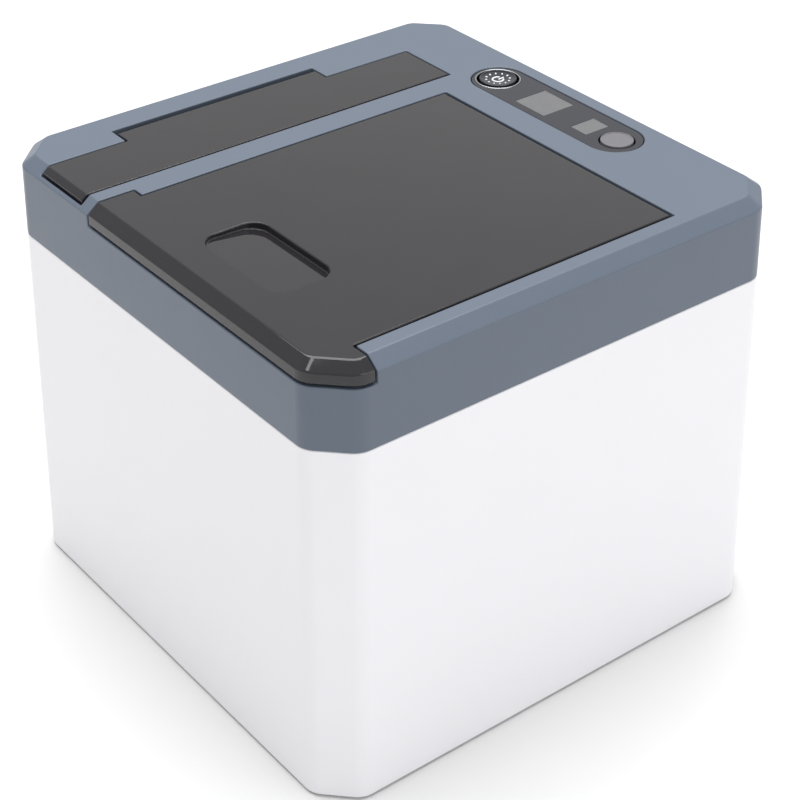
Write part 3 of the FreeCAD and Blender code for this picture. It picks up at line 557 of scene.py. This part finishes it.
on_key = level_of(power_profile, power_middle)
centre = np.array(power_middle[:2])
t = np.radians(90 + np.linspace(SIGN_GAP, 360 - SIGN_GAP, 48))
ring = centre + SIGN_RING * np.stack([np.cos(t), np.sin(t)], axis=1)
bar = centre + np.stack([np.zeros(9), np.linspace(*SIGN_BAR, 9)], axis=1)
beads = [swept(ring, 0.15 * MM, on_key), swept(bar, 0.15 * MM, on_key)]
for turn in np.arange(SIGN_DOTS) * math.tau / SIGN_DOTS:
    dot = np.outer(np.linspace(*DOT_REACH, 4), [np.cos(turn), np.sin(turn)])
    beads.append(swept(centre + dot, 0.14 * MM, on_key))
placed("power_sign", grid_mesh("power_sign", *beads), "white_shell", "power_key")

# the bright ring round the power key
HOOP_WIDTH = 0.32 * MM

low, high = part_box("power_ring")
outer = (high[0] - low[0]) / 2
inner = outer - HOOP_WIDTH
hoop = eased([(inner, low[2]), (inner, high[2]), (outer, high[2]), (outer, low[2])], 0.2 * MM)
hoop = np.concatenate([hoop, hoop[:1]])
placed("power_hoop", grid_mesh("power_hoop", turned(hoop, (*power_middle[:2], 0))),
       "bright_ring", "case", "power_ring")

# four feet, dished underneath so that only their rims touch the counter
FOOT = 4.8 * MM            # radius of a foot
FOOT_DISH = 0.25 * MM      # hollow under it

low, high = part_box("rubber_feet")
half = eased([(0, FOOT_DISH), (FOOT * 0.7, FOOT_DISH), (FOOT * 0.78, low[2]),
              (FOOT * 0.93, low[2]), (FOOT, 0.3 * MM), (FOOT, high[2]), (0, high[2])], 0.15 * MM)
places = [(x - math.copysign(FOOT, x), y - math.copysign(FOOT, y), 0)
          for x in (low[0], high[0]) for y in (low[1], high[1])]
placed("ringed_feet", grid_mesh("ringed_feet", *(turned(half, place, 64) for place in places)),
       "foot_rubber", "case", "rubber_feet")

# the feed roller, with eased ends and the shallow ring marks that grinding leaves
ROLLER_EASE = 0.4 * MM     # chamfer at each end
ROLLER_CORE = 2.0 * MM     # radius at which the rubber meets the shaft
MARK_DEPTH = 0.01 * MM
MARK_PITCH = 0.4 * MM

low, high = (np.array(corner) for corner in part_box("platen_roller"))
radius = (high[2] - low[2]) / 2
x = np.linspace(low[0] + ROLLER_EASE, high[0] - ROLLER_EASE, 240)
marks = radius - MARK_DEPTH * np.sin(x / MARK_PITCH * math.pi) ** 2
left, right = ([(ROLLER_CORE, end), (radius - ROLLER_EASE, end)] for end in (low[0], high[0]))
sleeve = np.concatenate([left, np.stack([marks, x], axis=1), right[::-1]])
axle = (0, *(low + high)[1:] / 2)
placed("ground_roller", grid_mesh("ground_roller", turned(sleeve, axle, along="X")),
       "roller_rubber", "platen", "platen_roller")


# ---- stage ----------------------------------------------------------------------------------
def floor_mesh(half):
    """A flat square, wide enough to pass out of view on every side."""
    mesh = bpy.data.meshes.new("floor")
    corners = [(-half, -half, 0), (half, -half, 0), (half, half, 0), (-half, half, 0)]
    mesh.from_pydata(corners, [], [(0, 1, 2, 3)])
    return mesh


floor = bpy.data.objects.new("floor", floor_mesh(6.0))
bpy.context.scene.collection.objects.link(floor)
paper = Finish("floor_white", Roughness=0.8)
paper.set(Base_Color=paper.mix(paper.noise(0.3), (0.74, 0.74, 0.74), (0.76, 0.76, 0.76)))
floor.data.materials.append(paper.material)

world = bpy.data.worlds.new("studio")
bpy.context.scene.world = world
world.use_nodes = True
background = world.node_tree.nodes["Background"]
background.inputs["Color"].default_value = (1, 1, 1, 1)
background.inputs["Strength"].default_value = 0.6


def softbox(name, place, size, power):
    """A square area light aimed at the middle of the case."""
    data = bpy.data.lights.new(name, "AREA")
    data.shape = "SQUARE"
    data.size = size
    data.energy = power
    lamp = bpy.data.objects.new(name, data)
    lamp.location = place
    way = Vector((0, 0, 40 * MM)) - Vector(place)
    lamp.rotation_euler = way.to_track_quat("-Z", "Y").to_euler()
    bpy.context.scene.collection.objects.link(lamp)


softbox("overhead", (-0.3, 0.12, 1.6), 1.5, 33.0)
softbox("rear_sky", (-1.0, 0.78, 0.87), 1.2, 0.9)
softbox("right_fill", (1.0, 0.2, 0.5), 0.8, 2.4)
softbox("front_fill", (-0.3, -1.1, 0.5), 0.25, 0.12)

camera_data = bpy.data.cameras.new("camera")
camera_data.lens = 89.1
camera_data.sensor_width = 36.0
camera_data.clip_start = 0.01
camera_data.clip_end = 50.0
camera = bpy.data.objects.new("camera", camera_data)
camera.location = (0.2292, -0.1754, 0.2285)
aim = Vector((-0.0199, 0.0180, 0.0165))
camera.rotation_euler = (aim - camera.location).to_track_quat("-Z", "Y").to_euler()
bpy.context.scene.collection.objects.link(camera)
bpy.context.scene.camera = camera
bpy.context.scene.view_settings.view_transform = "Standard"
